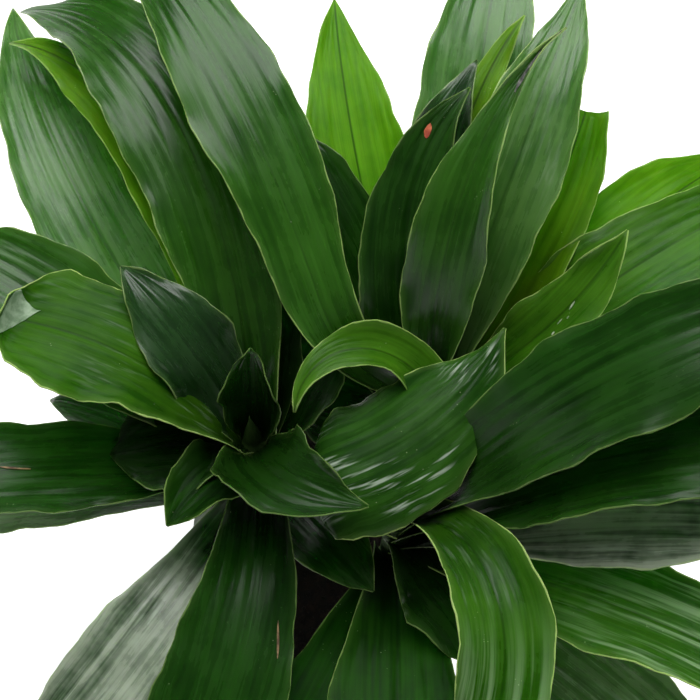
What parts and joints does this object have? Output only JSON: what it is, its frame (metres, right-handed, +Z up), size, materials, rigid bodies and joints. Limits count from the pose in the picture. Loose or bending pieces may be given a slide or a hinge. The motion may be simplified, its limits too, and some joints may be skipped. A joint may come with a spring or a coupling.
{
  "type": "potted plant",
  "caption": "Potted house plant with leafy heads of broad, arching, wavy-edged leaves on short woody canes, in a plain tapered round pot filled with soil.",
  "frame": {"origin": "centre of the pot's base on the surface that it stands on", "axes": "+Z up along the pot's axis; -Y towards the side that the picture was taken from, with the front head; -X towards the left head"},
  "size_m": [0.6305, 0.6297, 0.4433],
  "materials": {
    "pot": "glossy white glaze",
    "soil": "dark crumbly potting soil",
    "bark": "rough brown bark with leaf scars",
    "leaf": "glossy dark green blades with thin pale margins"
  },
  "bodies": {
    "root": {"pot": "pot", "soil": "soil", "cane_front": "bark", "cane_left": "bark", "cane_back": "bark", "head_front": "leaf", "head_left": "leaf", "head_back": "leaf"}
  },
  "joints": []
}
